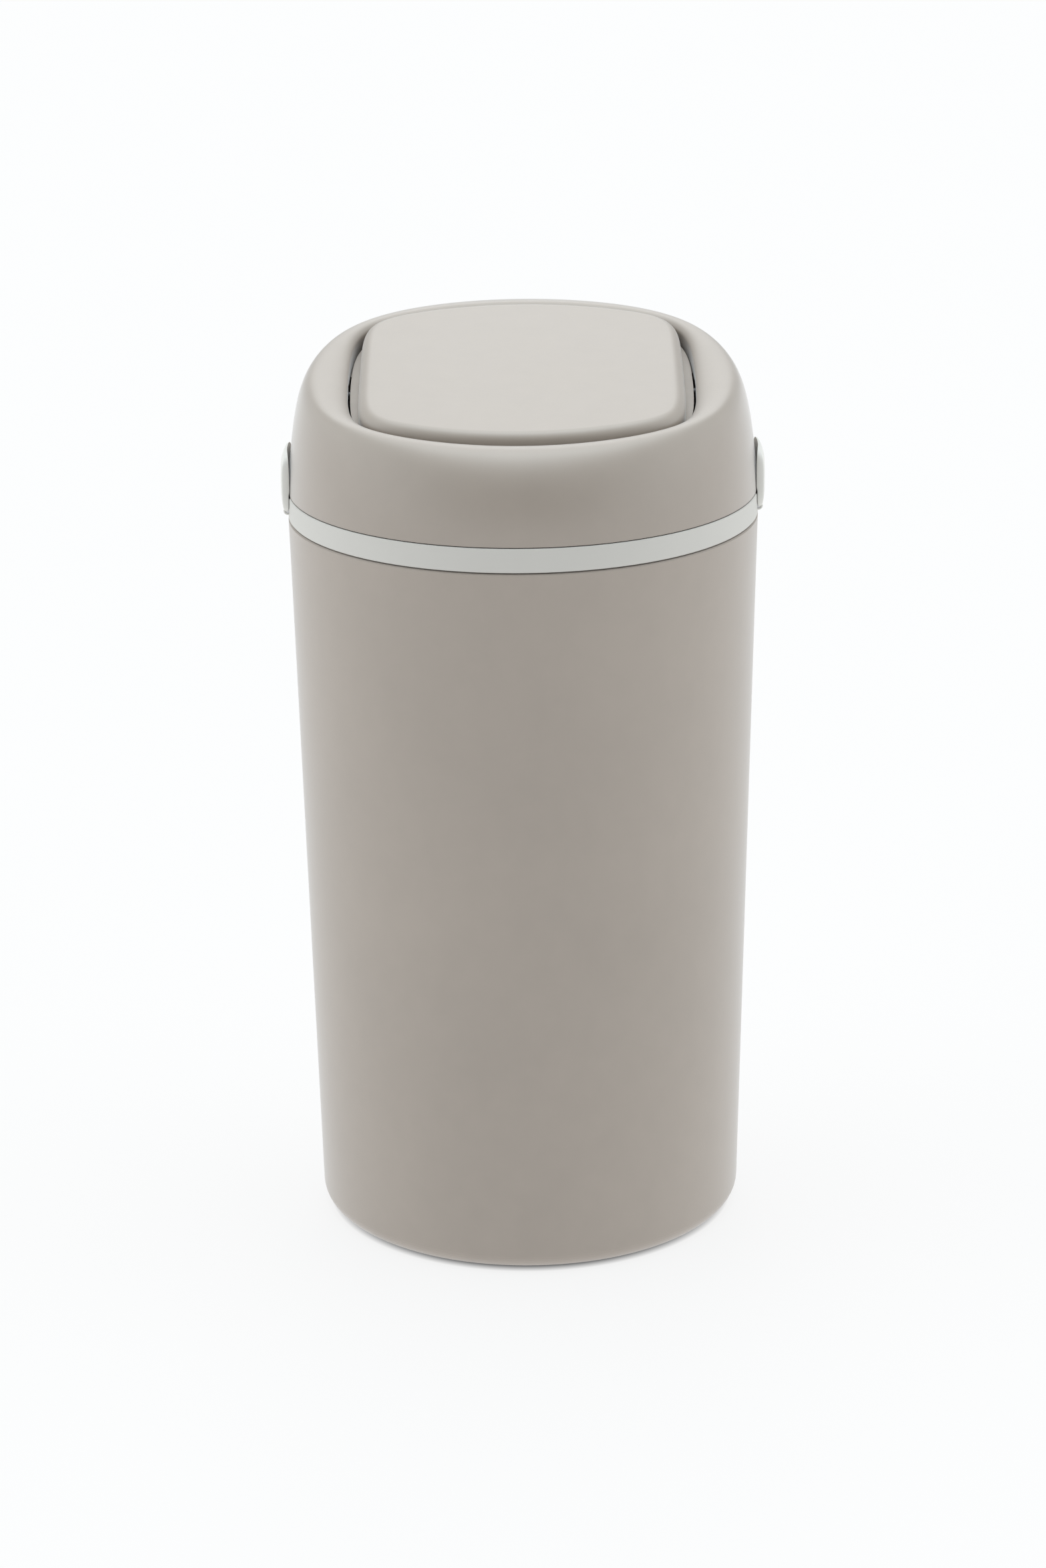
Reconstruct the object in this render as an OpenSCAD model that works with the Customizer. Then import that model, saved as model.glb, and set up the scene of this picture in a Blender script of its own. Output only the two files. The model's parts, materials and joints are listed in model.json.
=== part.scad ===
// Free-standing nappy bin: tapered round bucket, bag ring with side clips,
// sloping domed lid and a sprung tilting flap. Millimetres, +Z up, front faces -Y,
// origin at the centre of the feet's lower face.

/* [Bucket] */
// outside diameter at the bucket's rim
rim_d = 260; // [258:0.5:262]
// outside diameter at the bucket's base
base_d = 239.6; // [232:0.5:246]
// height of the bucket's outer shoulder above the ground
rim_z = 408.2; // [380:0.1:430]
// bucket wall thickness
wall = 2.4; // [2:0.1:2.8]
// outer radius between side wall and floor
foot_round = 10.4; // [6:0.2:14]

/* [Bag ring] */
// height of the white band
band_h = 13.2; // [12.8:0.1:13.6]
// gap between bucket shoulder and band
band_gap = 0.8; // [0.6:0.1:1]

/* [Clips] */
// half width of a clip
clip_hw = 20; // [18:0.5:20]
// half height of a clip
clip_hh = 18.6; // [18:0.2:19]
// how far the clip stands out from the ring
clip_out = 3.7; // [3.3:0.1:4.5]

/* [Lid] */
// crest height above the ground at mid depth
crest_z = 487.6; // [485:0.2:490]
// slope of the lid's crest, degrees
crest_tilt = 9.4; // [9:0.1:9.8]
// wall thickness of the lid
lid_wall = 2.6; // [2.2:0.1:2.8]

/* [Flap] */
// slope of the flap, degrees
flap_tilt = 10; // [9.5:0.25:10.25]
// height of the flap's top at mid depth
flap_z = 490.4; // [489:0.2:492]
// half width of the flap's cover
flap_a = 89; // [86:0.5:89.5]
// half length of the flap's cover
flap_b = 94; // [91:0.5:94]

/* [Hidden] */
$fn = 96;
R = rim_d / 2;
Rb = base_d / 2;
fz = 1.6;                         // floor underside
band_z0 = rim_z + band_gap;
band_z1 = band_z0 + band_h;
dome_z = band_z1 + 0.4;
NA = 96;                          // azimuth steps of the lofted shells
pw = -17;                         // pivot depth below the flap's top
pin_r = 2.5;
clip_px = R - 0.4;
clip_pz = rim_z + 5.8;
clip_cz = clip_pz + 14.7;

function Ro(z) = Rb + (R - 0.02 - Rb) * z / rim_z;
// rounded outline in polar form: straight sides at a, arcs of radius Ra at b
function rr(ph, a, b, Ra, P) = let(s = abs(sin(ph)), c = abs(cos(ph)), k = Ra - b,
    q = -k * s + sqrt(k * k * s * s + Ra * Ra - k * k)) pow(pow(c / a, P) + pow(1 / q, P), -1 / P);
function outl(a, b, Ra = 172, P = 13) = [for (j = [0 : NA - 1]) let(ph = 360 * j / NA, r = rr(ph, a, b, Ra, P)) [r * cos(ph), r * sin(ph)]];
// flap frame to part frame
function F(u, v, w) = [u, v * cos(flap_tilt) - w * sin(flap_tilt), flap_z + v * sin(flap_tilt) + w * cos(flap_tilt)];
module T() { translate([0, 0, flap_z]) rotate([flap_tilt, 0, 0]) children(); }
// outlines parallel to the lid's opening (wl) and to the flap's flange (fl), o mm outside them
function wl(o) = outl(95.6 + o, 96.6 + o, 174 + o, 8.5);
function fl(o) = outl(94.4 + o, 92.8 + o, 171 + o, 8.5);
module ring(p1, p0) { difference() { polygon(p1); polygon(p0); } }
// loft through rings of n points; loop = closed section
function quads(i0, i1, n) = [for (j = [0 : n - 1]) each let(k = (j + 1) % n)
    [[i0 * n + j, i1 * n + j, i1 * n + k], [i0 * n + j, i1 * n + k, i0 * n + k]]];

/* bucket */
module bucket_shell() {
  Rc = Ro(fz + foot_round) - foot_round;
  Ri = Ro(fz + foot_round) - wall;
  ri = foot_round - wall;
  color([0.68, 0.64, 0.60]) difference() {
    rotate_extrude() polygon(concat(
      [[0, fz]],
      [for (i = [0 : 10]) let(t = -90 + 9 * i) [Rc + foot_round * cos(t), fz + foot_round + foot_round * sin(t)]],
      [[Ro(rim_z) - 0.02, rim_z - 0.7], [Ro(rim_z) - 0.7, rim_z], [R - 3.9, rim_z],
       [R - 3.9, rim_z + 2.1], [R - 4.4, rim_z + 2.6], [R - 5.7, rim_z + 2.6], [R - 6.2, rim_z + 2.1],
       [R - 6.2, rim_z - 4], [Ro(rim_z - 11) - wall, rim_z - 11]],
      [for (i = [0 : 8]) let(t = -i * 90 / 8) [Ri - ri + ri * cos(t), fz + 3 + ri + ri * sin(t)]],
      [[0, fz + 3]]));
    for (q = [0 : 3]) rotate(45 + 90 * q) translate([92, 0, fz - 1]) cylinder(r = 9, h = 1.6);
  }
}
module foot_pads() {
  color([0.16, 0.16, 0.17]) for (q = [0 : 3]) rotate(45 + 90 * q) translate([92, 0, 0])
    rotate_extrude($fn = 48) polygon([[0, 0], [8.2, 0], [9, 0.8], [9, fz + 0.6], [0, fz + 0.6]]);
}

/* bag ring */
// opening in the band that follows a clip's outline
module notch() {
  translate([R - 20, 0, clip_cz]) rotate([90, 0, 90]) linear_extrude(30)
    polygon([for (j = [0 : 47]) ce(7.5 * j, clip_hw + 0.7, clip_hh + 1.4)]);
}
module collar_ring() {
  z1 = band_z1; zd = rim_z + 10.6; zr = rim_z + 4.4;
  color([0.90, 0.90, 0.88]) {
    difference() {
      rotate_extrude() polygon([[R - 8.8, rim_z - 9.6], [R - 8.2, rim_z - 10.2], [R - 7.2, rim_z - 10.2], [R - 6.6, rim_z - 9.6],
        [R - 6.6, zr], [R - 3.1, zr], [R - 3.1, band_z0], [R - 0.5, band_z0], [R, band_z0 + 0.5], [R, z1 - 0.5], [R - 0.5, z1],
        [R - 3.1, z1], [R - 3.1, z1 - 0.8], [R - 4.8, z1 - 0.8], [R - 4.8, z1 + 6.2], [R - 5.4, z1 + 6.8], [R - 6.6, z1 + 6.8],
        [R - 7.2, z1 + 6.2], [R - 7.2, z1 - 0.8], [R - 8.8, z1 - 0.8]]);
      for (s = [0, 180]) rotate(s) {
        difference() {
          intersection() {
            notch();
            translate([R - 20, -30, band_z0 - 3]) cube([30, 60, zd - 0.2 - band_z0 + 3]);
          }
          translate([0, 0, band_z0 - 4]) cylinder(r = R - 3.1, h = 40);
        }
        difference() {
          notch();
          translate([0, 0, band_z0 - 4]) cylinder(r = R - 0.5, h = 60);
        }
      }
    }
    for (s = [0, 180]) rotate(s) difference() {
      union() {
        translate([clip_px, 6, clip_pz]) rotate([90, 0, 0]) cylinder(r = 2.5, h = 12, $fn = 48);
        translate([R - 3.0, -6, clip_pz]) cube([1.9, 12, zd + 0.1 - clip_pz]);
      }
      translate([clip_px, 8, clip_pz]) rotate([90, 0, 0]) cylinder(r = 1.3, h = 16, $fn = 48);
    }
  }
}
module collar_gasket() {
  color([0.2, 0.2, 0.21]) rotate_extrude() polygon([[R - 6.2, rim_z + 2.8], [R - 6.0, rim_z + 2.6], [R - 4.1, rim_z + 2.6],
    [R - 3.9, rim_z + 2.8], [R - 3.9, rim_z + 4.4], [R - 6.2, rim_z + 4.4]]);
}

/* clips */
function ce(ps, sy, sz) = let(n = 3.0, c = cos(ps), s = sin(ps), r = pow(pow(abs(c), n) + pow(abs(s), n), -1 / n)) [sy * r * c, sz * r * s];
module clip_body() {
  n = 48;
  lv = [0.1, 0.35, 0.58, 0.77, 0.9, 0.97, 1];
  rows = concat([[R - 5, 0, 1]], [for (f = lv) [R - 0.15 + (clip_out + 0.15) * f, 6.5 * (1 - sqrt(1 - f * f)), 1]],
    [for (m = [0.75, 0.5, 0.25]) [R + clip_out, 6.5, m]]);
  pts = concat([for (i = [0 : len(rows) - 1], j = [0 : n - 1]) let(q = rows[i],
      p = ce(360 * j / n, (clip_hw - q[1]) * q[2], (clip_hh - 1.35 * q[1]) * q[2]))
      [i == 0 ? R - 5 : sqrt(q[0] * q[0] - p[0] * p[0]), p[0], clip_cz + p[1]]], [[R + clip_out, 0, clip_cz]]);
  L = len(rows);
  faces = concat([for (i = [0 : L - 2]) each [for (j = [0 : n - 1]) each let(k = (j + 1) % n)
      [[i * n + j, (i + 1) * n + k, (i + 1) * n + j], [i * n + j, i * n + k, (i + 1) * n + k]]]],
    [for (j = [0 : n - 1]) [(L - 1) * n + j, (L - 1) * n + (j + 1) % n, L * n]],
    [[for (j = [0 : n - 1]) n - 1 - j]]);
  difference() {
    polyhedron(points = pts, faces = [for (f = faces) [for (i = [len(f) - 1 : -1 : 0]) f[i]]]);
    translate([R - 20, -40, clip_pz + 3.5]) cube([20.1, 80, 60]);
    translate([0, 0, clip_pz - 10]) cylinder(r = R - 2.4, h = 14, $fn = 480);
    difference() {
      translate([R - 12, -30, clip_pz - 10]) cube([12 - 0.4, 60, 10]);
      translate([clip_px, 31, clip_pz]) rotate([90, 0, 0]) cylinder(r = 2.5, h = 62, $fn = 48);
    }
    translate([R - 12, -6.4, clip_pz - 10]) cube([12 - 0.4, 12.8, 14]);
    translate([clip_px, 6.4, clip_pz]) rotate([90, 0, 0]) cylinder(r = 2.8, h = 12.8, $fn = 48);
    translate([clip_px, 30, clip_pz]) rotate([90, 0, 0]) cylinder(r = 1.25, h = 45.5, $fn = 48);
  }
}
module clip_right() { color([0.90, 0.90, 0.88]) clip_body(); }
module clip_left() { color([0.90, 0.90, 0.88]) mirror([1, 0, 0]) clip_body(); }
module clip_pin_right() { color([0.7, 0.7, 0.72]) translate([clip_px, 15.5, clip_pz]) rotate([90, 0, 0]) cylinder(r = 1.25, h = 31, $fn = 48); }
module clip_pin_left() { color([0.7, 0.7, 0.72]) translate([-clip_px, 15.5, clip_pz]) rotate([90, 0, 0]) cylinder(r = 1.25, h = 31, $fn = 48); }

/* lid */
// the crest is squarer at the front than at the rear; gf goes smoothly from 1 in front to 0 behind
function gf(ph) = let(t = min(1, max(0, 0.5 - 1.2 * sin(ph)))) t * t * (3 - 2 * t);
function crest_r(ph) = let(g = gf(ph)) g * rr(ph, 110, 102.7, 145, 10) + (1 - g) * rr(ph, 110, 102.5, 182, 5.5);
function lidring(t, Rr, zb, drop) = [for (j = [0 : NA - 1]) let(ph = 360 * j / NA, w = sin(ph) * sin(ph), g = gf(ph),
    rc = crest_r(ph), x = rc * cos(ph), y = rc * sin(ph), zc = crest_z + tan(crest_tilt) * y - pow(x / 110, 2) - drop,
    m1 = 4.1 - (0.95 + 1.15 * g) * w, m2 = 1.2 + (2.0 - 0.95 * g) * w, th = 90 * t, s = pow(sin(th), 2 / m1), c = pow(cos(th), 2 / m2))
    [x + (Rr * cos(ph) - x) * s, y + (Rr * sin(ph) - y) * s, zb + (zc - zb) * c]];
function wallring(o, w) = [for (p = wl(o)) F(p[0], p[1], w)];
// lower edge of the opening's wall, raised over the two pivots
function wallend(o, w) = [for (p = wl(o)) F(p[0], p[1], abs(p[1]) < 9 ? -11.8 : w)];
function roll(A, B, t) = [for (j = [0 : NA - 1]) [A[j][0] + (B[j][0] - A[j][0]) * (1 - cos(t)), A[j][1] + (B[j][1] - A[j][1]) * (1 - cos(t)), A[j][2] + (B[j][2] - A[j][2]) * sin(t)]];
module lid_dome() {
  tt = [1, 0.93, 0.86, 0.78, 0.7, 0.62, 0.54, 0.46, 0.38, 0.3, 0.22, 0.14, 0.07, 0.02, 0];
  top = lidring(0, R - 0.5, dome_z, 0);
  wt = wallring(0, -7.5);
  und = lidring(0, R - 3.1, dome_z, lid_wall);
  wu = wallring(2.4, -9);
  rings = concat([for (t = tt) lidring(t, R - 0.5, dome_z, 0)],
    [for (q = [70, 50, 30, 15]) roll(wt, top, q)], [wt, wallend(0, -15.5), wallend(2.4, -15.5)],
    [for (q = [0, 30, 60]) roll(wu, und, q)],
    [for (i = [len(tt) - 1 : -1 : 0]) lidring(tt[i], R - 3.1, dome_z, lid_wall)]);
  L = len(rings);
  color([0.68, 0.64, 0.60]) polyhedron(points = [for (q = rings) each q], faces = [for (i = [0 : L - 1]) each quads(i, (i + 1) % L, NA)]);
}
module lid_gasket() {
  color([0.2, 0.2, 0.21]) rotate_extrude() polygon([[R - 3.0, band_z1], [R - 1.2, band_z1], [R - 1.2, dome_z], [R - 3.0, dome_z]]);
}
module flap_frame() {
  color([0.66, 0.62, 0.58]) T() {
    difference() {
      union() {
        translate([0, 0, -18]) linear_extrude(2.5) ring(outl(107, 106, 172, 7), wl(0.4));
        translate([0, 0, -15.5]) linear_extrude(6) ring(wl(5.0), wl(2.5));
        translate([0, 0, -30]) linear_extrude(12) ring(wl(3.0), wl(0.4));
        translate([0, 0, -18.5]) linear_extrude(2) intersection() { ring(wl(0.8), fl(-5.8)); translate([-120, 26]) square([240, 90]); }
        for (s = [-1, 1]) translate([s > 0 ? 96.6 : -104.5, 0, pw]) rotate([0, 90, 0]) cylinder(r = 5.2, h = 7.9);
      }
      for (s = [-1, 1]) translate([s > 0 ? 90 : -110, 0, pw]) rotate([0, 90, 0]) cylinder(r = 3.8, h = 20);
      for (s = [-1, 1]) translate([s > 0 ? 104.5 : -114.5, -7, pw - 6]) cube([10, 14, 12]);
    }
    // hook that the spring's fixed leg bears on
    for (s = [-1, 1]) translate([s > 0 ? 101 : -109, -12.4, pw - 3.3]) cube([8, 3, 2.4]);
  }
}
module flap_seal() {
  color([0.2, 0.2, 0.21]) T() translate([0, 0, -16.5]) linear_extrude(2.5) intersection() { ring(fl(-0.4), fl(-3.4)); translate([-120, 27]) square([240, 90]); }
}
module bush() { difference() { union() { cylinder(r = 3.8, h = 7.9); translate([0, 0, 7.9]) cylinder(r = 5, h = 1); } translate([0, 0, -1]) cylinder(r = pin_r + 0.05, h = 12); } }
module bush_right() { color([0.85, 0.84, 0.8]) T() translate([96.6, 0, pw]) rotate([0, 90, 0]) bush(); }
module bush_left() { color([0.85, 0.84, 0.8]) T() translate([-96.6, 0, pw]) rotate([0, -90, 0]) bush(); }
// torsion coil about X: a straight leg to the frame's hook, three turns, and a leg into the slot across the pin's end
module coil(x0, dir) {
  turns = 3; st = 20; n = 6; wr = 0.55; cr = 3.9; pitch = 1.5; M = turns * st; x1 = x0 + 0.9;
  // each entry: x, v, w of the wire's centre and the direction (v, w) of its outer side
  path = concat([[x1, -11.8, -cr, 0, -1]],
    [for (i = [0 : M - 1]) let(a = 270 + 360 * i / st) [x1 + pitch * i / st, cr * cos(a), cr * sin(a), cos(a), sin(a)]],
    [[x1 + pitch * turns, 0, -cr, 0.9, -0.9], [x1 + pitch * turns, 0, 0, 1, 0]]);
  L = len(path);
  pts = [for (q = path, k = [0 : n - 1]) let(t = 360 * k / n) [dir * (q[0] + wr * sin(t)), q[1] + wr * cos(t) * q[3], q[2] + wr * cos(t) * q[4]]];
  f = concat([for (i = [0 : L - 2], k = [0 : n - 1]) each let(q = (k + 1) % n) [[i * n + k, (i + 1) * n + q, (i + 1) * n + k], [i * n + k, i * n + q, (i + 1) * n + q]]],
    [[for (k = [0 : n - 1]) n - 1 - k], [for (k = [0 : n - 1]) (L - 1) * n + k]]);
  polyhedron(points = pts, faces = dir > 0 ? [for (g = f) [for (i = [len(g) - 1 : -1 : 0]) g[i]]] : f);
}
module spring_right() { color([0.75, 0.75, 0.77]) T() translate([0, 0, pw]) coil(105.5, 1); }
module spring_left() { color([0.75, 0.75, 0.77]) T() translate([0, 0, pw]) coil(105.5, -1); }

/* flap */
module flap_cap() {
  er = 4.5;
  rows = concat([[0, -12], [0, -er]], [for (q = [18, 36, 54, 72, 90]) [er * (1 - cos(q)), -er + er * sin(q)]]);
  ins = [for (q = rows) [for (p = outl(flap_a - q[0], flap_b - q[0], 172 - q[0])) [p[0], p[1], q[1]]]];
  all = concat(ins, [[for (p = outl(flap_a - 3.4, flap_b - 3.4, 168.6)) [p[0], p[1], -2.8]], [for (p = outl(flap_a - 2.4, flap_b - 2.4, 169.6)) [p[0], p[1], -12]]]);
  L = len(rows);
  color([0.68, 0.64, 0.60]) T() difference() {
    union() {
      polyhedron(points = [for (q = all) each q], faces = concat(
        [for (i = [0 : L - 2]) each quads(i, i + 1, NA)], quads(L, L + 1, NA), quads(L + 1, 0, NA),
        [[for (j = [0 : NA - 1]) (L - 1) * NA + NA - 1 - j]], [[for (j = [0 : NA - 1]) L * NA + j]]));
      for (x = [-55, 55], y = [-55, 55]) translate([x, y, -12]) cylinder(r = 4, h = 9.4, $fn = 36);
    }
    for (x = [-55, 55], y = [-55, 55]) translate([x, y, -13]) cylinder(r = 1.5, h = 8.5, $fn = 36);
  }
}
module flap_tray() {
  color([0.66, 0.62, 0.58]) T() difference() {
    union() {
      translate([0, 0, -14]) linear_extrude(2) ring(fl(0), fl(-10.2));
      translate([0, 0, -24]) linear_extrude(10) ring(fl(-8), fl(-10.2));
      translate([0, 0, -24]) linear_extrude(2) polygon(fl(-9));
      for (x = [-55, 55], y = [-55, 55]) translate([x, y, -23]) cylinder(r = 5, h = 11, $fn = 36);
      for (s = [-1, 1]) translate([s > 0 ? 78 : -94, 0, pw]) rotate([0, 90, 0]) cylinder(r = 4.5, h = 16);
    }
    for (x = [-55, 55], y = [-55, 55]) { translate([x, y, -25]) cylinder(r = 1.8, h = 20, $fn = 36); translate([x, y, -25]) cylinder(r = 3.6, h = 3.2, $fn = 36); }
    for (s = [-1, 1]) translate([s > 0 ? 80 : -100, 0, pw]) rotate([0, 90, 0]) cylinder(r = pin_r, h = 20);
  }
}
// pin with a slot across its outer end for the spring's leg
module pivot_pin() { difference() { rotate([0, 90, 0]) cylinder(r = pin_r, h = 32.6); translate([29.6, -0.75, -4]) cube([4, 1.5, 8]); } }
module pivot_pin_right() { color([0.75, 0.75, 0.77]) T() translate([80, 0, pw]) pivot_pin(); }
module pivot_pin_left() { color([0.75, 0.75, 0.77]) T() translate([-80, 0, pw]) mirror([1, 0, 0]) pivot_pin(); }
module flap_screws() {
  color([0.75, 0.75, 0.77]) T() for (x = [-55, 55], y = [-55, 55]) translate([x, y, 0]) difference() {
    union() {
      translate([0, 0, -23.6]) cylinder(r = 3.3, h = 1.8, $fn = 36);
      translate([0, 0, -22]) cylinder(r = 1.5, h = 17, $fn = 36);
    }
    translate([-2.2, -0.5, -24]) cube([4.4, 1, 1.3]);
    translate([-0.5, -2.2, -24]) cube([1, 4.4, 1.3]);
  }
}

bucket_shell();
foot_pads();
collar_ring();
collar_gasket();
clip_pin_left();
clip_pin_right();
clip_left();
clip_right();
lid_dome();
lid_gasket();
flap_frame();
flap_seal();
bush_left();
bush_right();
spring_left();
spring_right();
flap_cap();
flap_tray();
pivot_pin_left();
pivot_pin_right();
flap_screws();
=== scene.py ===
import json
import math
import bpy
import numpy as np
from mathutils import Matrix, Vector


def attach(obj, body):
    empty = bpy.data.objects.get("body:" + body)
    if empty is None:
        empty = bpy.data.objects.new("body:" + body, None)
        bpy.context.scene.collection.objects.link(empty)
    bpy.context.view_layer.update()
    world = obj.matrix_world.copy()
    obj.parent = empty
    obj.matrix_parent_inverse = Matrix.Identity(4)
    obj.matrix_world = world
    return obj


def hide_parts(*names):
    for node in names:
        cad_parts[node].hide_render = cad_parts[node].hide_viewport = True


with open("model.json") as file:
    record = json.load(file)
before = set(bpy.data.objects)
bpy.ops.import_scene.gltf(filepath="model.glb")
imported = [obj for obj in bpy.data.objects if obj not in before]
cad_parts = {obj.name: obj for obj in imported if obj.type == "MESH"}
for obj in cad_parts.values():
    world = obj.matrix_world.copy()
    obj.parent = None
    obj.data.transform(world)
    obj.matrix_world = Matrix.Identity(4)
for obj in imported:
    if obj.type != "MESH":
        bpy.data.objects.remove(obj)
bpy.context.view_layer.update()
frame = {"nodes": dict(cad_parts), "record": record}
nodes = frame["nodes"]
MM = 0.001
scene = bpy.context.scene

# ------------------------------------------------------------------ shared sizes (mm)
R = 130.0            # band radius
RIM_Z = 408.2
BAND_Z0, BAND_Z1 = 409.0, 422.2
DOME_Z = 422.6
CREST_Z, CREST_TILT = 487.6, math.radians(9.4)
FLAP_Z, FLAP_TILT = 490.4, math.radians(10.0)
PW = -17.0
CLIP_X, CLIP_Z, CLIP_C = 129.6, 414.0, 428.7


def rr(ph, a, b, Ra, P):
    """Rounded outline in polar form: straight sides at a, arcs of radius Ra at b."""
    s, c = np.abs(np.sin(ph)), np.abs(np.cos(ph))
    k = Ra - b
    q = -k * s + np.sqrt(k * k * s * s + Ra * Ra - k * k)
    return ((c / a) ** P + (1 / q) ** P) ** (-1 / P)


def F(u, v, w):
    """Flap frame to part frame."""
    c, s = math.cos(FLAP_TILT), math.sin(FLAP_TILT)
    return np.stack([u, v * c - w * s, FLAP_Z + v * s + w * c], -1)


def mesh_from(name, verts, faces, smooth=True, sharp=None):
    me = bpy.data.meshes.new(name)
    me.from_pydata([tuple(float(c) * MM for c in p) for p in verts], [], [tuple(int(i) for i in f) for f in faces])
    me.validate()
    me.update()
    ob = bpy.data.objects.new(name, me)
    scene.collection.objects.link(ob)
    if smooth:
        me.polygons.foreach_set("use_smooth", [True] * len(me.polygons))
        if sharp:
            me.set_sharp_from_angle(angle=math.radians(sharp))
    return ob


def loft(name, rings, closed=True, cap0=None, cap1=None, sharp=40):
    """Rings of n points each. closed joins the last ring to the first; cap0/cap1 close the ends with a centre point."""
    n = len(rings[0])
    verts = [p for r in rings for p in r]
    faces = []
    L = len(rings)
    k = np.arange(n)
    kn = (k + 1) % n
    for i in range(L if closed else L - 1):
        a, b = i * n, ((i + 1) % L) * n
        faces += [(a + p, a + q, b + q, b + p) for p, q in zip(k, kn)]
    if cap0 is not None:
        verts.append(cap0)
        c = len(verts) - 1
        faces += [(c, q, p) for p, q in zip(k, kn)]
    if cap1 is not None:
        verts.append(cap1)
        c = len(verts) - 1
        a = (L - 1) * n
        faces += [(c, a + p, a + q) for p, q in zip(k, kn)]
    return mesh_from(name, verts, faces, sharp=sharp)


def fix_normals(ob):
    import bmesh
    bm = bmesh.new()
    bm.from_mesh(ob.data)
    bmesh.ops.recalc_face_normals(bm, faces=bm.faces)
    bm.to_mesh(ob.data)
    bm.free()


def lathe(name, prof, n=240, sharp=35, x0=0.0, y0=0.0):
    """Turns a closed (r, z) profile round Z; points on the axis are merged."""
    ph = np.linspace(0, 2 * np.pi, n, endpoint=False)
    verts, index = [], []
    for r, z in prof:
        if r < 1e-6:
            index.append([len(verts)] * n)
            verts.append((x0, y0, z))
        else:
            index.append(list(range(len(verts), len(verts) + n)))
            verts += [(x0 + r * math.cos(t), y0 + r * math.sin(t), z) for t in ph]
    faces = []
    L = len(prof)
    for i in range(L):
        A, B = index[i], index[(i + 1) % L]
        for j in range(n):
            f = [A[j], A[(j + 1) % n], B[(j + 1) % n], B[j]]
            g = [f[0]] + [f[m] for m in (1, 2, 3) if f[m] != f[m - 1]]
            if g[-1] == g[0]:
                g.pop()
            if len(set(g)) >= 3:
                faces.append(tuple(g))
    ob = mesh_from(name, verts, faces, sharp=sharp)
    fix_normals(ob)
    return ob


# ------------------------------------------------------------------ materials
def srgb(c):
    return [((x / 255 + 0.055) / 1.055) ** 2.4 if x / 255 > 0.04045 else x / 255 / 12.92 for x in c]


def new_mat(name):
    m = bpy.data.materials.new(name)
    m.use_nodes = True
    nt = m.node_tree
    for n in list(nt.nodes):
        if n.type != "OUTPUT_MATERIAL":
            nt.nodes.remove(n)
    out = nt.nodes["Material Output"]
    b = nt.nodes.new("ShaderNodeBsdfPrincipled")
    nt.links.new(b.outputs[0], out.inputs[0])
    return m, nt, b


def noise(nt, vec, scale, detail=3.0, rough=0.5):
    n = nt.nodes.new("ShaderNodeTexNoise")
    n.inputs["Scale"].default_value = scale
    n.inputs["Detail"].default_value = detail
    n.inputs["Roughness"].default_value = rough
    nt.links.new(vec, n.inputs["Vector"])
    return n.outputs["Fac"]


def ramp(nt, fac, lo, hi, p0=0.0, p1=1.0):
    r = nt.nodes.new("ShaderNodeMapRange")
    r.inputs["From Min"].default_value = p0
    r.inputs["From Max"].default_value = p1
    r.inputs["To Min"].default_value = lo
    r.inputs["To Max"].default_value = hi
    nt.links.new(fac, r.inputs["Value"])
    return r.outputs["Result"]


def mixc(nt, fac, a, b):
    m = nt.nodes.new("ShaderNodeMix")
    m.data_type = "RGBA"
    for sock, val in ((m.inputs[0], fac), (m.inputs[6], a), (m.inputs[7], b)):
        if hasattr(val, "links"):
            nt.links.new(val, sock)
        elif isinstance(val, (int, float)):
            sock.default_value = val
        else:
            sock.default_value = (*val[:3], 1.0)
    return m.outputs[2]


def math_node(nt, op, a, b=None):
    m = nt.nodes.new("ShaderNodeMath")
    m.operation = op
    for sock, val in ((m.inputs[0], a), (m.inputs[1], b)):
        if val is None:
            continue
        if hasattr(val, "links"):
            nt.links.new(val, sock)
        else:
            sock.default_value = val
    return m.outputs[0]


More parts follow.
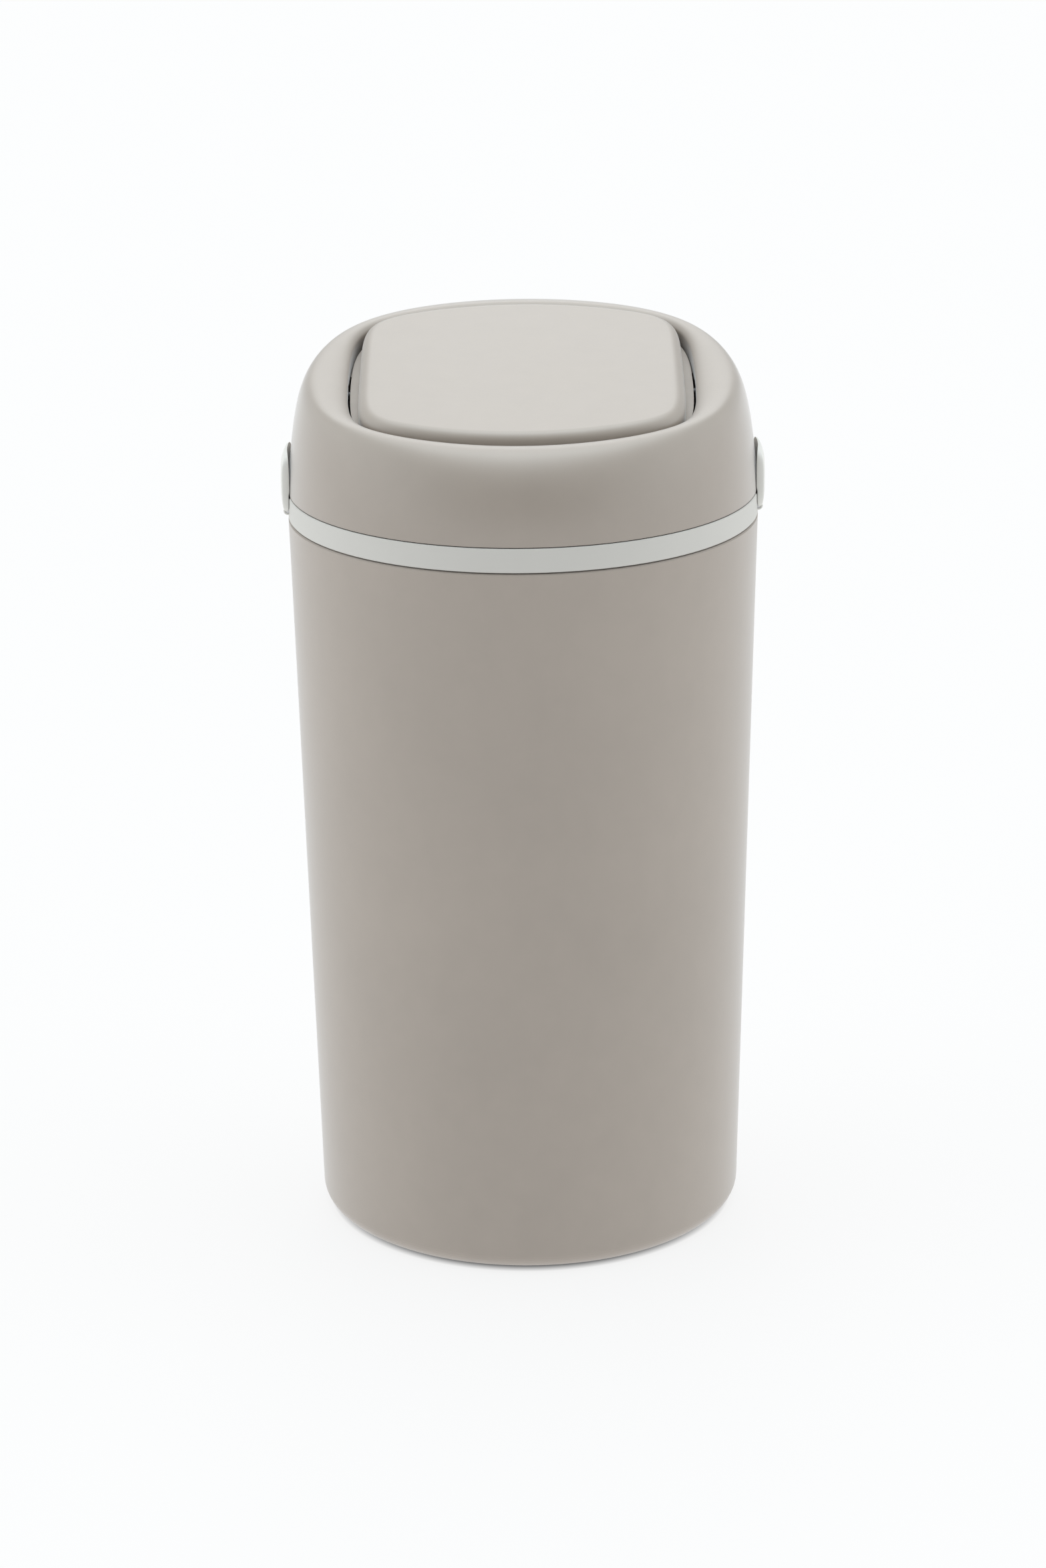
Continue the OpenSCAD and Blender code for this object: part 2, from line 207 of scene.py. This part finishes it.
def plastic(name, col, rough=0.45, spec=0.8, grain=0.00004, grain_scale=1400, wave=0.00012, wear=0.25, mottle=0.035, sheen=0.0):
    """Moulded plastic: fine spark-eroded grain, a slow surface wave, faint tone variation, paler rubbed edges."""
    m, nt, b = new_mat(name)
    tc = nt.nodes.new("ShaderNodeTexCoord").outputs["Object"]
    big = noise(nt, tc, 9.0, 4.0, 0.55)
    mid = noise(nt, tc, 70.0, 3.0, 0.6)
    fine = noise(nt, tc, grain_scale, 2.0, 0.6)
    tone = math_node(nt, "ADD", math_node(nt, "MULTIPLY", big, 0.7), math_node(nt, "MULTIPLY", mid, 0.3))
    dark = [c * (1 - mottle) for c in col]
    light = [min(1, c * (1 + mottle)) for c in col]
    base = mixc(nt, ramp(nt, tone, 0, 1, 0.35, 0.65), dark, light)
    # very small flecks of the compound
    fleck = ramp(nt, noise(nt, tc, 2600.0, 1.0, 0.5), 0.0, 0.07, 0.62, 0.74)
    base = mixc(nt, fleck, base, [c * 0.8 for c in col])
    geo = nt.nodes.new("ShaderNodeNewGeometry")
    edge = ramp(nt, geo.outputs["Pointiness"], 0.0, wear, 0.53, 0.62)
    edge = math_node(nt, "MULTIPLY", edge, ramp(nt, mid, 0.3, 1.0, 0.35, 0.6))
    base = mixc(nt, edge, base, [min(1, c * 1.18 + 0.02) for c in col])
    nt.links.new(base, b.inputs["Base Color"])
    rg = math_node(nt, "ADD", ramp(nt, big, rough - 0.035, rough + 0.035, 0.3, 0.7), ramp(nt, fine, -0.03, 0.03, 0.3, 0.7))
    nt.links.new(rg, b.inputs["Roughness"])
    b.inputs["Specular IOR Level"].default_value = spec
    b.inputs["Sheen Weight"].default_value = sheen
    b.inputs["Sheen Roughness"].default_value = 0.35
    b.inputs["Sheen Tint"].default_value = (1.0, 1.0, 1.0, 1.0)
    bump1 = nt.nodes.new("ShaderNodeBump")
    bump1.inputs["Strength"].default_value = 0.6
    bump1.inputs["Distance"].default_value = grain
    nt.links.new(fine, bump1.inputs["Height"])
    bump2 = nt.nodes.new("ShaderNodeBump")
    bump2.inputs["Strength"].default_value = 0.5
    bump2.inputs["Distance"].default_value = wave
    nt.links.new(big, bump2.inputs["Height"])
    nt.links.new(bump1.outputs[0], bump2.inputs["Normal"])
    nt.links.new(bump2.outputs[0], b.inputs["Normal"])
    return m


def rubber(name, col, rough=0.75):
    m, nt, b = new_mat(name)
    tc = nt.nodes.new("ShaderNodeTexCoord").outputs["Object"]
    big = noise(nt, tc, 60.0, 3.0)
    fine = noise(nt, tc, 2200.0, 2.0)
    nt.links.new(mixc(nt, ramp(nt, big, 0, 1, 0.3, 0.7), [c * 0.8 for c in col], [c * 1.5 for c in col]), b.inputs["Base Color"])
    nt.links.new(ramp(nt, big, rough - 0.08, rough + 0.08, 0.3, 0.7), b.inputs["Roughness"])
    bump = nt.nodes.new("ShaderNodeBump")
    bump.inputs["Strength"].default_value = 0.7
    bump.inputs["Distance"].default_value = 0.00006
    nt.links.new(fine, bump.inputs["Height"])
    nt.links.new(bump.outputs[0], b.inputs["Normal"])
    return m


def steel(name, col=(0.55, 0.55, 0.56), rough=0.3):
    m, nt, b = new_mat(name)
    tcn = nt.nodes.new("ShaderNodeTexCoord")
    mp = nt.nodes.new("ShaderNodeMapping")
    mp.inputs["Scale"].default_value = (60.0, 2400.0, 2400.0)
    nt.links.new(tcn.outputs["Object"], mp.inputs["Vector"])
    draw = noise(nt, mp.outputs[0], 1.0, 3.0)
    big = noise(nt, tcn.outputs["Object"], 180.0, 3.0)
    b.inputs["Metallic"].default_value = 1.0
    nt.links.new(mixc(nt, ramp(nt, big, 0, 1, 0.3, 0.7), [c * 0.85 for c in col], [min(1, c * 1.1) for c in col]), b.inputs["Base Color"])
    nt.links.new(ramp(nt, draw, rough - 0.08, rough + 0.1, 0.3, 0.7), b.inputs["Roughness"])
    bump = nt.nodes.new("ShaderNodeBump")
    bump.inputs["Strength"].default_value = 0.4
    bump.inputs["Distance"].default_value = 0.00002
    nt.links.new(draw, bump.inputs["Height"])
    nt.links.new(bump.outputs[0], b.inputs["Normal"])
    return m


TAUPE = (0.432, 0.377, 0.327)
INNER = (0.41, 0.36, 0.315)
WHITE = (0.65, 0.64, 0.605)
# painted light: the clip covers are the same white plastic as the band, given a paler copy of its colour so they come
# out as light as the brightly lit ears
CLIP_WHITE_PAINTED_BRIGHT = (0.80, 0.795, 0.755)
M = {
    "shell_plastic": plastic("shell_plastic_mat", [c * 0.94 for c in TAUPE], 0.40, sheen=0.6),
    "lid_plastic": plastic("lid_plastic_mat", [c * 0.93 for c in TAUPE], 0.38, sheen=0.8),
    "flap_plastic": plastic("flap_plastic_mat", [c * 0.94 for c in TAUPE], 0.36, sheen=0.7),
    "inner_plastic": plastic("inner_plastic_mat", INNER, 0.52, grain=0.00006),
    "white_plastic": plastic("white_plastic_mat", WHITE, 0.48, spec=0.5, mottle=0.012, wear=0.1),
    "white_clip_painted_bright": plastic("white_clip_mat", CLIP_WHITE_PAINTED_BRIGHT, 0.40, spec=0.6, mottle=0.012, wear=0.1),
    "bush_plastic": plastic("bush_plastic_mat", (0.2, 0.18, 0.16), 0.4, mottle=0.03),
    "rubber": rubber("rubber_mat", (0.03, 0.03, 0.032)),
    "steel": steel("steel_mat"),
}


M["pin_steel"] = steel("pin_steel_mat", (0.13, 0.13, 0.135), 0.42)


def dress(ob, slot):
    ob.data.materials.clear()
    ob.data.materials.append(M[slot])
    return ob


for s in frame["record"]["subparts"]:
    ob = nodes[s["node"]]
    if not ob.material_slots:
        ob.data.materials.append(M[s["material_slot"]])
    for sl in ob.material_slots:
        sl.material = M[s["material_slot"]]


for k in ("pivot_pin_left", "pivot_pin_right"):
    for sl in nodes[k].material_slots:
        sl.material = M["pin_steel"]


def piece(ob, body, slot, *replaced, mat=None):
    dress(ob, mat or slot)
    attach(ob, body)
    if replaced:
        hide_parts(*replaced)
    return ob


# ------------------------------------------------------------------ lid
def front_share(ph):
    t = np.clip(0.5 - 1.2 * np.sin(ph), 0, 1)
    return t * t * (3 - 2 * t)


def crest_r(ph):
    g = front_share(ph)
    return g * rr(ph, 110, 102.7, 145, 10) + (1 - g) * rr(ph, 110, 102.5, 182, 5.5)


def even_by(n, rfun, corner=0.35):
    """Azimuths spaced by length along an outline, a little closer where it turns."""
    ph = np.linspace(0, 2 * np.pi, 7201)
    r = rfun(ph)
    x, y = r * np.cos(ph), r * np.sin(ph)
    dx, dy = np.diff(x), np.diff(y)
    ds = np.hypot(dx, dy)
    an = np.unwrap(np.arctan2(dy, dx))
    turn = np.abs(np.gradient(an))
    wgt = ds / ds.sum() * (1 - corner) + turn / turn.sum() * corner
    c = np.concatenate([[0], np.cumsum(wgt)])
    return np.interp(np.linspace(0, c[-1], n + 1)[:-1], c, ph)


def wl(ph, o=0.0):
    """Outline parallel to the lid's opening."""
    return rr(ph, 95.6 + o, 96.6 + o, 174 + o, 8.5)


def fl(ph, o=0.0):
    """Outline parallel to the flap's flange."""
    return rr(ph, 94.4 + o, 92.8 + o, 171 + o, 8.5)


NL = 384
PHL = even_by(NL, crest_r)


def lid_ring(t, Rr, zb, drop):
    ph = PHL
    w = np.sin(ph) ** 2
    g = front_share(ph)
    rc = crest_r(ph)
    x, y = rc * np.cos(ph), rc * np.sin(ph)
    zc = CREST_Z + math.tan(CREST_TILT) * y - (x / 110) ** 2 - drop
    m1, m2 = 4.1 - (0.95 + 1.15 * g) * w, 1.2 + (2.0 - 0.95 * g) * w
    th = t * math.pi / 2
    s, c = np.sin(th) ** (2 / m1), np.maximum(np.cos(th), 0) ** (2 / m2)
    return np.stack([x + (Rr * np.cos(ph) - x) * s, y + (Rr * np.sin(ph) - y) * s, zb + (zc - zb) * c], -1)


def wall_ring(o, w, end=False):
    r = wl(PHL, o)
    u, v = r * np.cos(PHL), r * np.sin(PHL)
    ww = np.full_like(u, w)
    if end:
        t = np.clip((11.0 - np.abs(v)) / 4.5, 0, 1)
        ww = w + (-11.8 - w) * t * t * (3 - 2 * t)
    return F(u, v, ww)


def roll(A, B, deg):
    t = math.radians(deg)
    k = np.array([1 - math.cos(t), 1 - math.cos(t), math.sin(t)])
    return A + (B - A) * k


def build_lid():
    tt = np.concatenate([[0.995, 0.985], 1 - np.linspace(0.03, 1, 44)])
    tt = np.concatenate([tt[:-1], [0.015, 0.008, 0.003, 0.0]])
    # a 0.5 mm round on the skirt's lower outer edge
    base = []
    for q in (0, 22, 45, 68, 90):
        t = math.radians(q)
        base.append(lid_ring(1, R - 1.0 + 0.5 * math.sin(t), DOME_Z + 0.5 - 0.5 * math.cos(t), 0))
    outer = [lid_ring(t, R - 0.5, DOME_Z + 0.5 * t, 0) for t in tt]
    top = outer[-1]
    wt = wall_ring(0, -7.5)
    rolls = [roll(wt, top, q) for q in (84, 78, 72, 66, 60, 54, 48, 42, 36, 30, 24, 18, 12, 6)]
    wu = wall_ring(2.4, -9)
    und = lid_ring(0, R - 3.1, DOME_Z, 2.6)
    rings = base + outer + rolls + [wt, wall_ring(0, -9.5), wall_ring(0, -11.2), wall_ring(0, -15.1, True), wall_ring(0.4, -15.5, True),
                                    wall_ring(2.4, -15.5, True)]
    rings += [roll(wu, und, q) for q in (0, 15, 30, 45, 60, 75)]
    rings += [lid_ring(t, R - 3.1, DOME_Z, 2.6) for t in np.linspace(0, 1, 24)]
    return loft("lid_shell", rings, sharp=50)


piece(build_lid(), "lid", "lid_plastic", "lid_dome")


# ------------------------------------------------------------------ flap cover
def merge(first, *others):
    """Joins objects into the first; coincident points are welded."""
    import bmesh
    obs = [first, *others]
    with bpy.context.temp_override(active_object=first, selected_editable_objects=obs, selected_objects=obs):
        bpy.ops.object.join()
    bm = bmesh.new()
    bm.from_mesh(first.data)
    bmesh.ops.remove_doubles(bm, verts=bm.verts, dist=1e-6)
    bmesh.ops.recalc_face_normals(bm, faces=bm.faces)
    bm.to_mesh(first.data)
    bm.free()
    return first


def build_flap():
    n = 384
    A, B, RA, P, er = 89.0, 94.0, 172.0, 13.0, 6.5
    ph = even_by(n, lambda q: rr(q, A, B, RA, P), 0.45)

    def ring(inset, w):
        r = rr(ph, A - inset, B - inset, RA - inset, P)
        u, v = r * np.cos(ph), r * np.sin(ph)
        return F(u, v, np.full_like(u, w))

    rings = [ring(0.4, -12.0), ring(0.1, -11.9), ring(0.0, -11.6), ring(0, -8.5), ring(0, -er)]
    for q in range(6, 91, 6):
        t = math.radians(q)
        rings.append(ring(er * (1 - math.cos(t)), -er + er * math.sin(t)))
    for ins in (7.5, 10, 15, 24, 40, 60, 78):
        rings.append(ring(ins, 0.0))
    outer = loft("flap_cover", rings, closed=False, cap1=F(0.0, 0.0, 0.0), sharp=60)
    # inner side: ceiling and wall
    rin = [ring(0.4, -12.0), ring(2.4, -12.0), ring(2.6, -4.5), ring(3.6, -3.2), ring(5.0, -2.8), ring(30, -2.8), ring(70, -2.8)]
    inner = loft("flap_cover_in", rin, closed=False, cap1=F(0.0, 0.0, -2.8), sharp=60)
    for p in inner.data.polygons:
        p.flip()
    merge(outer, inner)
    outer.data.set_sharp_from_angle(angle=math.radians(50))
    return outer


piece(build_flap(), "flap", "flap_plastic", "flap_cap")


# ------------------------------------------------------------------ clips
def tube(name, r0, r1, y0, y1, cx, cz, n=64, edge=0.25):
    """Short tube along Y with eased ends."""
    prof = [(r0, y0 + edge), (r0 + edge, y0), (r1 - edge, y0), (r1, y0 + edge), (r1, y1 - edge), (r1 - edge, y1), (r0 + edge, y1), (r0, y1 - edge)]
    ph = np.linspace(0, 2 * np.pi, n, endpoint=False)
    rings = [np.stack([cx + r * np.cos(ph), np.full(n, y), cz + r * np.sin(ph)], -1) for r, y in prof]
    ob = loft(name, rings, closed=True, sharp=35)
    fix_normals(ob)
    return ob


def build_clip(name, sign):
    """Cover of a side clip: its inner face clears the band and the lid's widest part, its outer face is bowed."""
    z0, z1, hy = 411.8, 446.6, 20.0
    zc, hz = (z0 + z1) / 2, (z1 - z0) / 2
    n = 160
    ps = np.linspace(0, 2 * np.pi, n, endpoint=False)
    c, s = np.cos(ps), np.sin(ps)
    r4 = (np.abs(c) ** 4.2 + np.abs(s) ** 4.2) ** (-1 / 4.2)

    def inner(y, z):
        band = math.sqrt((R + 0.2) ** 2 - y * y)
        side = math.sqrt((R - 0.5) ** 2 - y * y) + 0.2
        t = min(1.0, max(0.0, (z - 423.2) / 3.0))
        t = t * t * (3 - 2 * t)
        return band + (side - band) * t

    def outer(y, z):
        q = min(1.0, abs((z - zc) / hz))
        rad = R + 0.25 + 3.45 * math.sqrt(1 - q ** (3.6 if z < zc else 2.9)) - 0.9 * max(0.0, (z - 438) / 9) ** 2
        return math.sqrt(rad * rad - y * y)

    def ring(m, k):
        pts = []
        for y, z in zip(hy * r4 * c * m, hz * r4 * s * m):
            a = inner(y, zc + z)
            b = max(outer(y, zc + z), a + 0.45)
            pts.append((sign * (a + (b - a) * k), y, zc + z))
        return np.array(pts)

    rings = [ring(m, 0.0) for m in (0.12, 0.3, 0.48, 0.64, 0.78, 0.88, 0.95, 0.985)]
    rings.append(ring(0.997, 0.03))
    for q in (0, 12, 24, 36, 48, 60, 70, 80, 90):
        t = math.radians(q)
        rings.append(ring(0.955 + 0.045 * math.cos(t), 0.10 + 0.90 * math.sin(t)))
    rings += [ring(m, 1.0) for m in (0.93, 0.89, 0.83, 0.75, 0.64, 0.5, 0.34, 0.18, 0.06)]
    c0 = np.array([sign * inner(0, zc), 0, zc])
    c1 = np.array([sign * outer(0, zc), 0, zc])
    ob = loft(name, rings, closed=False, cap0=c0, cap1=c1, sharp=60)
    fix_normals(ob)
    parts = []
    for k, (y0, y1) in enumerate(((-15.6, -6.5), (6.5, 15.6))):
        # knuckle round the pin, and the root block that joins it to the cover
        parts.append(tube("%s_knuckle%d" % (name, k), 1.3, 2.45, y0, y1, sign * CLIP_X, CLIP_Z))
        ys = np.linspace(y0 + 0.2, y1 - 0.2, 9)
        rows = []
        for rad, z in ((R - 2.3, CLIP_Z + 1.3), (R - 2.3, CLIP_Z + 3.1), (R - 2.0, CLIP_Z + 3.4), (R + 0.4, CLIP_Z + 3.4), (R + 0.4, CLIP_Z + 1.3)):
            rows.append(np.stack([sign * np.sqrt(rad * rad - ys * ys), ys, np.full(9, z)], -1))
        verts = [p for r in rows for p in r]
        faces = [(i * 9 + j, ((i + 1) % 5) * 9 + j, ((i + 1) % 5) * 9 + j + 1, i * 9 + j + 1) for i in range(5) for j in range(8)]
        faces += [tuple(i * 9 for i in range(5)), tuple(i * 9 + 8 for i in reversed(range(5)))]
        root = mesh_from("%s_root%d" % (name, k), verts, faces, sharp=35)
        fix_normals(root)
        parts.append(root)
    merge(ob, *parts)
    ob.data.set_sharp_from_angle(angle=math.radians(50))
    return ob


# the clip covers wear the paler copy of the white plastic, with painted light in its colour
piece(build_clip("clip_cover_left", -1), "clip_l", "white_plastic", "clip_left", mat="white_clip_painted_bright")
piece(build_clip("clip_cover_right", 1), "clip_r", "white_plastic", "clip_right", mat="white_clip_painted_bright")


# ------------------------------------------------------------------ camera
f_px, W, H = 6500.0, 1568, 2351
psi, e, rho = 0.0, 0.3245, -0.0112
loc = Vector((-0.0018, -2.4560 * math.cos(e), 0.2472 + 2.4560 * math.sin(e)))
right0 = Vector((1, 0, 0))
up0 = Vector((0, math.sin(e), math.cos(e)))
back = Vector((0, -math.cos(e), math.sin(e)))
right = right0 * math.cos(rho) + up0 * math.sin(rho)
up = -right0 * math.sin(rho) + up0 * math.cos(rho)
cam = bpy.data.cameras.new("photo_camera")
cam.sensor_fit = "AUTO"
cam.sensor_width = 36.0
cam.lens = 36.0 * f_px / H
cam.shift_y = 3.26 / H
cam.clip_start = 0.05
cam.clip_end = 200
cam_ob = bpy.data.objects.new("photo_camera", cam)
cam_ob.matrix_world = Matrix(((right.x, up.x, back.x, loc.x), (right.y, up.y, back.y, loc.y), (right.z, up.z, back.z, loc.z), (0, 0, 0, 1)))
scene.collection.objects.link(cam_ob)
scene.camera = cam_ob

# ------------------------------------------------------------------ stage and light
floor = mesh_from("floor", [(-30000, -30000, 0), (30000, -30000, 0), (30000, 30000, 0), (-30000, 30000, 0)], [(0, 1, 2, 3)], smooth=False)
FLOOR = dict(alb=0.14, emit=0.815)
fm, nt, b = new_mat("floor_mat")
tc = nt.nodes.new("ShaderNodeTexCoord").outputs["Object"]
nt.links.new(mixc(nt, noise(nt, tc, 3.0), [FLOOR["alb"] * 0.985] * 3, [FLOOR["alb"] * 1.015] * 3), b.inputs["Base Color"])
b.inputs["Roughness"].default_value = 0.9
b.inputs["Specular IOR Level"].default_value = 0.0
b.inputs["Emission Color"].default_value = (1.0, 1.0, 1.0, 1.0)
# painted contact shadow: the floor's glow is turned down to 6% under the base and comes back to full between radii 108
# and 116.5 mm, which leaves a thin dark line along the base
ftc = nt.nodes.new("ShaderNodeTexCoord")
fsep = nt.nodes.new("ShaderNodeSeparateXYZ")
nt.links.new(ftc.outputs["Object"], fsep.inputs[0])
fx = math_node(nt, "MULTIPLY", fsep.outputs["X"], fsep.outputs["X"])
fy = math_node(nt, "MULTIPLY", fsep.outputs["Y"], fsep.outputs["Y"])
fr = math_node(nt, "SQRT", math_node(nt, "ADD", fx, fy))
nt.links.new(ramp(nt, fr, 0.06 * FLOOR["emit"], FLOOR["emit"], 0.108, 0.1165), b.inputs["Emission Strength"])
floor.data.materials.append(fm)

world = bpy.data.worlds.new("studio")
scene.world = world
world.use_nodes = True
wn = world.node_tree
for n in list(wn.nodes):
    wn.nodes.remove(n)
wo = wn.nodes.new("ShaderNodeOutputWorld")
bg = wn.nodes.new("ShaderNodeBackground")
wtc = wn.nodes.new("ShaderNodeTexCoord")
sep = wn.nodes.new("ShaderNodeSeparateXYZ")
wn.links.new(wtc.outputs["Generated"], sep.inputs[0])
# studio: an even term, side light, and a row of soft lobes from behind (b, with elevation) over the top to the front (f)
ENV = dict(even=0.03, left=1.42, right=1.32, b12=0.0, b25=1.6, b38=0.75, b52=0.1, b68=2.3, zen=2.15, f60=0.0, f30=0.0, sup=0.55)
# the light from above and from the sides is a little cooler than the rest
TINT = dict(zen=(0.91, 0.98, 1.01), b68=(0.91, 0.98, 1.01), left=(0.955, 0.987, 1.0), right=(0.955, 0.987, 1.0), sup=(0.93, 0.985, 1.0))


def wmath(op, a, b=None):
    m = wn.nodes.new("ShaderNodeMath")
    m.operation = op
    for sock, val in ((m.inputs[0], a), (m.inputs[1], b)):
        if val is None:
            continue
        if hasattr(val, "links"):
            wn.links.new(val, sock)
        else:
            sock.default_value = val
    return m.outputs[0]


def lobe(direction, power):
    """max(0, d . direction) ** power over the world's directions d."""
    d = Vector(direction).normalized()
    acc = None
    for k, ax in enumerate("XYZ"):
        if abs(d[k]) < 1e-6:
            continue
        t = wmath("MULTIPLY", sep.outputs[ax], d[k])
        acc = t if acc is None else wmath("ADD", acc, t)
    return wmath("POWER", wmath("MAXIMUM", acc, 0.0), power)


def behind(deg, power):
    t = math.radians(deg)
    return lobe((0, math.cos(t), math.sin(t)), power)


terms = {
    "left": lobe((-1, 0, 0), 2.0),
    "right": lobe((1, 0, 0), 2.0),
    "b12": behind(12, 24.0),
    "b25": behind(25, 24.0),
    "b38": behind(38.6, 30.0),
    "b52": behind(52, 24.0),
    "b68": behind(68, 16.0),
    "zen": behind(90, 8.0),
    "f60": behind(120, 8.0),
    "f30": behind(150, 4.0),
    "sup": wmath("ADD", lobe((0.8, 0, 0.6), 8.0), lobe((-0.8, 0, 0.6), 8.0)),
}
lp = wn.nodes.new("ShaderNodeLightPath")
comb = wn.nodes.new("ShaderNodeCombineColor")
for i in range(3):
    val = None
    for k, t in terms.items():
        if ENV[k] == 0.0:
            continue
        t = wmath("MULTIPLY", t, ENV[k] * TINT.get(k, (1, 1, 1))[i])
        val = t if val is None else wmath("ADD", val, t)
    val = wmath("ADD", val, ENV["even"])
    cam_mix = wn.nodes.new("ShaderNodeMix")
    cam_mix.data_type = "FLOAT"
    wn.links.new(lp.outputs["Is Camera Ray"], cam_mix.inputs[0])
    wn.links.new(val, cam_mix.inputs[2])
    cam_mix.inputs[3].default_value = 0.985
    wn.links.new(cam_mix.outputs[0], comb.inputs[i])
wn.links.new(comb.outputs[0], bg.inputs["Color"])
bg.inputs["Strength"].default_value = 1.0
wn.links.new(bg.outputs[0], wo.inputs[0])

scene.view_settings.view_transform = "Standard"
scene.view_settings.look = "None"
scene.view_settings.exposure = 0.0
scene.view_settings.gamma = 1.0
